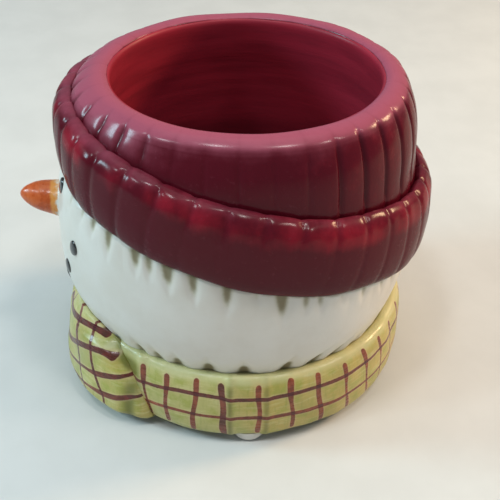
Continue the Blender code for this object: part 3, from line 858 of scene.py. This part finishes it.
def scarf_knot(finish):
    """The folded front: a thick lobe over the band, with creases running down from its top."""
    wide, tall = 420, 92
    across = np.linspace(-1, 1, wide)[None, :]
    share = np.linspace(0, 1, tall)[:, None]
    share = share - 0.03 * np.sin(2 * np.pi * share)
    theta = table(KNOT_HALF, share) * across
    side = np.abs(theta)
    top = 27.7 + 2.6 * bell(across - 0.6, 0.38) - 6.0 * bell(across + 0.12, 0.3)
    top = top - 1.8 * np.abs(across) ** 6
    z = 0.05 + (top - 0.05) * share
    # it lies on the band, and on the head above the band
    under = scarf_radius(theta, np.minimum(z, 26.4))
    climb = np.maximum(under, head_radius(theta, np.maximum(z, 27)))
    under = under + (climb - under) * smooth(z, 22, 25) + 0.2
    edge = (1 - np.abs(across) ** 9) ** 0.6
    thick = table(KNOT_THICK, share) * (1 - 0.16 * (1 - smooth(share, 0.0, 0.05)))
    push = thick * edge * (0.95 + 0.05 * np.cos(2 * np.pi * (np.abs(across) - 0.5) / 0.9))
    push = push * (1 - 0.08 * bell(across, 0.35))
    steps = np.hypot(np.diff(under + push, axis=0), np.diff(z, axis=0))
    run = np.concatenate([np.zeros((1, wide)), np.cumsum(steps, axis=0)])
    crease = 1.7 * bell(crease_offset(theta, run, 38.6), 1.5) * smooth(run, 17, 22)
    dip = 2.0 * bell(side - 48.2, 2.6) * (1 - smooth(z, 15, 21)) * smooth(z, -3, 4)
    fold = 1.1 * bell(fold_offset(theta, z), 2.4) * smooth(z, 1, 10)
    roll = 0.275 * np.sin(np.radians(theta * 9 + z * 9)) * smooth(z, 3, 12) * (1 - smooth(side, 34, 44))
    lump = 0.3 * waver(theta * 3, z, 101, 7, 0.2)
    push = push - (crease + dip + fold) * edge + (roll + lump) * edge * smooth(share, 0, 0.15)
    outer_points = place(theta, under + np.maximum(0.35, push), z).reshape(-1, 3)
    inner_points = place(theta, under - 0.4, z).reshape(-1, 3)
    count = wide * tall
    # the rim is walked round once, and joins the two sheets
    rim = np.concatenate([np.arange(wide), np.arange(1, tall) * wide + wide - 1,
                          (tall - 1) * wide + np.arange(wide - 2, -1, -1),
                          np.arange(tall - 2, 0, -1) * wide])
    after = np.roll(rim, -1)
    faces = [woven(tall, wide), woven(tall, wide, start=count)[:, ::-1],
             np.stack([rim, rim + count, after + count, after], -1)]
    marks = {key: np.concatenate([np.broadcast_to(value, z.shape).ravel()] * 2)
             for key, value in knot_marks(theta, z, run, share).items()}
    piece("scarf_knot_glazed", np.concatenate([outer_points, inner_points]),
          np.concatenate(faces), marks, finish, ["scarf_knot"])


# ---------------- well, nose, eyes, coals and feet

# (radius, height) up the well's hidden outside, from its floor.
WELL_OUTSIDE = [(0.02, 6.6), (28, 6.6), (44.6, 10.4), (51.4, 20), (54.0, 35), (54.2, 55), (51.6, 90),
                (49.4, 100), (48.8, 106.0), (47.6, 111.2)]
NOSE_RADIUS = 6.3
NOSE_BASE, NOSE_TIP = 67.6, 81.25  # how far in front of the axis
NOSE_HEIGHT, NOSE_RISE = 63.4, 2.4
EYE_ANGLE = 12.5
EYE_DROP = 3.9  # from the brim's edge
EYE_HALF = (2.5, 3.1, 0.9)  # half width, half height and thickness
COAL_HALF = (2.3, 3.3, 0.9)
COALS = [(-25, 60.6), (-17.4, 47.6), (-8.8, 36.6), (0, 34), (8.8, 36.6), (17.4, 47.6), (25, 60.6)]
# (radius, height) round a foot, from under the scarf to its sole's middle.
FOOT = [(7.1, 0.6), (7.0, -0.4), (6.8, -1.6), (6.4, -2.8), (5.5, -3.6), (4.3, -3.97), (2.4, -4.0),
        (0.1, -4.0)]
TIP = 0.02  # a ring drawn in to this share of its size looks closed


def pot_well(finish):
    sides = 540
    theta = np.arange(sides) * 360 / sides
    radius, z = spline(WELL, [3, 3, 3, 3, 3, 4, 7, 9, 11, 12, 9, 7, 5, 5, 4, 4])
    shape = (radius.shape[0], sides)
    radius, z = np.broadcast_to(radius, shape), np.broadcast_to(z, shape)
    ringed = smooth(-z, -104, -96) * smooth(radius, 6, 30)
    rings = 0.035 * np.sin(z * 1.15 + 0.8 * sind(theta)) + 0.16 * waver(theta, z, 131, 5, 0.12)
    # painted shade, growing with depth down the well
    marks = {"depth_shade": smooth(-z, -90, -42) * (1 - 0.4 * smooth(-z, -24, -10))}
    hoop("pot_well_glazed", theta, radius + ringed * rings, z, WELL_OUTSIDE, marks, finish,
         ["inner_well"])


def full_turn(sides):
    return np.linspace(0, 2 * np.pi, sides, endpoint=False)[None, :]


def blob(name, points, marks, finish, node):
    """A body made of rings of points, drawn in to nearly a point at both ends."""
    rows, sides = points.shape[:2]
    faces = woven(rows, sides, close_cols=True)
    piece(name, points.reshape(-1, 3), faces, marks, finish, [node])


def bead(node, angle, height, half, finish, seed, lean=0.0):
    """A slightly uneven painted bead that follows the head."""
    wide, tall, thick = half
    rows, sides = 16, 40
    turn = full_turn(sides)
    rise = np.linspace(0.02, np.pi / 2, rows)[:, None]
    wobble = 1 + 0.05 * np.sin(2 * turn + seed) + 0.03 * np.sin(3 * turn + 2 * seed)
    x = wide * np.sin(rise) * np.cos(turn) * wobble
    h = tall * np.sin(rise) * np.sin(turn) * wobble
    x, h = x * math.cos(lean) - h * math.sin(lean), x * math.sin(lean) + h * math.cos(lean)
    lift = np.broadcast_to(thick * np.cos(rise) ** 0.8, x.shape)
    # two more rings sink its edge into the head and draw it in underneath
    x, h = (np.concatenate([a, a[-1:], a[-1:] * TIP]) for a in (x, h))
    lift = np.concatenate([lift, np.full((2, sides), -0.6)])
    theta = angle + np.degrees(x / head_radius(angle, height))
    level = height + h
    points = place(theta, head_radius(theta, level) + 0.1 + lift, level)
    blob(f"{node}_glazed", points, {}, finish, node)


def nose(finish):
    rows, sides = 60, 72
    share = np.linspace(0, 1, rows)[:, None] ** 0.9
    turn = full_turn(sides)
    out = NOSE_RADIUS * np.clip(1 - share**2.1, 1e-4, 1) ** 0.62
    out = out * (1 + 0.02 * np.sin(3 * turn + 4 * share) + 0.004 * np.sin(share * 30 + turn))
    out = out + 1.1 * np.exp(-share * 16)
    x = out * np.cos(turn)
    height = NOSE_HEIGHT + NOSE_RISE * share + out * np.sin(turn)
    reach = NOSE_BASE + (NOSE_TIP - NOSE_BASE) * share
    # its root follows the face
    surface = head_radius(np.degrees(x / 67), height)
    reach = np.where(share < 0.08, np.minimum(reach, surface - 0.5 + 14 * share), reach)
    points = upright(x, -reach, height)
    centre = points[:1].mean(axis=1, keepdims=True)
    points = np.concatenate([centre + (points[:1] - centre) * TIP, points])
    root = np.concatenate([[1.0], 1 - smooth(share[:, 0], 0.0, 0.34)])
    blob("carrot_nose_glazed", points, {"base": np.repeat(root, sides)}, finish,
         "carrot_nose")


def foot(number, finish):
    """A short glazed lug, pressed on by hand."""
    sides = 64
    turn = full_turn(sides)
    r, z = spline(FOOT, 4)
    r = r * (1 + 0.03 * np.sin(2 * turn + number) + 0.02 * np.sin(3 * turn + 2 * number))
    z = np.maximum(np.broadcast_to(z, r.shape), FOOT[-1][1])
    r, z = np.concatenate([r[:1] * TIP, r]), np.concatenate([z[:1], z])
    low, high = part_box(f"foot_{number}")
    middle = (low + high) / 2
    points = np.stack([middle.x + r * np.cos(turn) * MM, middle.y + r * np.sin(turn) * MM,
                       BASE_Z + z * MM], -1)
    wash = np.where(z > -0.3, 0.5, 0.0) * (1 - smooth(r, 0, 3))
    blob(f"foot_{number}_glazed", points, {"wash": wash.ravel()}, finish,
         f"foot_{number}")


maroon, white, green, black = maroon_glaze(), white_glaze(), scarf_glaze(), coal_glaze()
hat_crown(maroon)
hat_brim(maroon)
snow_head(white)
scarf_band(green)
scarf_knot(green)
pot_well(lining_glaze())
nose(nose_glaze())
for node, side in (("eye_right", -1), ("eye_left", 1)):
    bead(node, EYE_ANGLE * side, seam(EYE_ANGLE * side) - EYE_DROP, EYE_HALF, black, seed=side)
for number, (angle, height) in enumerate(COALS, 1):
    bead(f"mouth_coal_{number}", angle, height, COAL_HALF, black, seed=number, lean=-0.012 * angle)
for number in (1, 2, 3):
    foot(number, white)
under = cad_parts["base_dish"]
under.data.materials.clear()
under.data.materials.append(underside_clay())

# ---------------- floor, light and camera

# Lamps as (name, place, width, power, colour), in metres and watts, all aimed at the pot's middle.
LAMPS = [
    ("far_left", (0.30, -0.75, 0.95), 0.13, 2.0, (0.84, 0.96, 1.0)),
    ("near_left", (0.30, -0.25, 1.05), 0.13, 2.0, (0.94, 0.99, 1.0)),
    ("near_right", (0.30, 0.25, 1.05), 0.13, 2.0, (1.0, 0.97, 0.92)),
    ("far_right", (0.30, 0.75, 0.95), 0.13, 2.0, (1.0, 0.92, 0.82)),
    ("soft_overhead", (-0.15, 0.0, 1.3), 1.2, 2.6, (1.0, 0.98, 0.96)),
    ("cool_side", (-0.05, -0.85, 0.5), 0.24, 4.6, (0.56, 0.88, 1.0)),
    ("warm_side", (-0.2, 0.85, 0.5), 0.24, 6.4, (1.0, 0.70, 0.40)),
]
AIR_COLOUR, AIR_STRENGTH = (0.80, 0.92, 1.0, 1), 0.28
# The camera looks from the snowman's left, turned a little about its own axis.
AZIMUTH, PITCH, ROLL = math.radians(85), math.radians(35.69), math.radians(1.07)
DISTANCE = 0.32895
AIM_HEIGHT, AIM_SIDE = 0.0374, 0.00234  # above the scarf's edge, and right of the pot's axis
SENSOR_MM, LENS_MM = 36, 61.2


def studio_floor():
    mesh = bpy.data.meshes.new("studio_floor")
    count, reach = 24, 1.6
    line = np.linspace(-reach, reach, count)
    x, y = np.meshgrid(line, line, indexing="ij")
    points = np.stack([x, y, 0 * x], -1).reshape(-1, 3)
    mesh.from_pydata(points.tolist(), [], woven(count, count).tolist())
    g = Glaze("floor_paper")
    grain = g.noise(30, 4, 0.6)
    colour = g.blend(g.span(grain, 0.3, 0.7), (0.60, 0.60, 0.585), (0.63, 0.63, 0.615))
    mesh.materials.append(g.finish(colour, g.span(grain, 0.3, 0.7, 0.7, 0.8), grain, 0.1))
    made = bpy.data.objects.new("studio_floor", mesh)
    bpy.context.scene.collection.objects.link(made)


def lamp(name, at, size, power, colour):
    data = bpy.data.lights.new(name, "AREA")
    data.shape, data.size, data.energy, data.color = "DISK", size, power, colour
    made = bpy.data.objects.new(name, data)
    made.location = at
    made.rotation_mode = "QUATERNION"
    toward_pot = Vector((AXIS_X, AXIS_Y, 0.06)) - Vector(at)
    made.rotation_quaternion = toward_pot.to_track_quat("-Z", "Y")
    bpy.context.scene.collection.objects.link(made)


def studio_air():
    world = bpy.data.worlds.new("studio_air")
    world.use_nodes = True
    background = world.node_tree.nodes["Background"]
    background.inputs["Color"].default_value = AIR_COLOUR
    background.inputs["Strength"].default_value = AIR_STRENGTH
    bpy.context.scene.world = world


def studio_camera():
    toward = Vector((math.sin(AZIMUTH), -math.cos(AZIMUTH), 0))
    look = -toward * math.cos(PITCH) - Vector((0, 0, math.sin(PITCH)))
    right = Vector((math.cos(AZIMUTH), math.sin(AZIMUTH), 0))
    up = right.cross(look)
    turned = Matrix((right * math.cos(ROLL) + up * math.sin(ROLL),
                     up * math.cos(ROLL) - right * math.sin(ROLL), -look)).transposed().to_4x4()
    aim = Vector((AXIS_X, AXIS_Y, BASE_Z + AIM_HEIGHT)) + right * AIM_SIDE
    turned.translation = aim - look * DISTANCE
    camera = bpy.data.objects.new("camera", bpy.data.cameras.new("camera"))
    bpy.context.scene.collection.objects.link(camera)
    camera.data.sensor_width, camera.data.lens = SENSOR_MM, LENS_MM
    camera.data.clip_start, camera.data.clip_end = 0.01, 20
    camera.matrix_world = turned
    bpy.context.scene.camera = camera


studio_floor()
studio_air()
for row in LAMPS:
    lamp(*row)
studio_camera()
bpy.context.scene.view_settings.view_transform = "Standard"
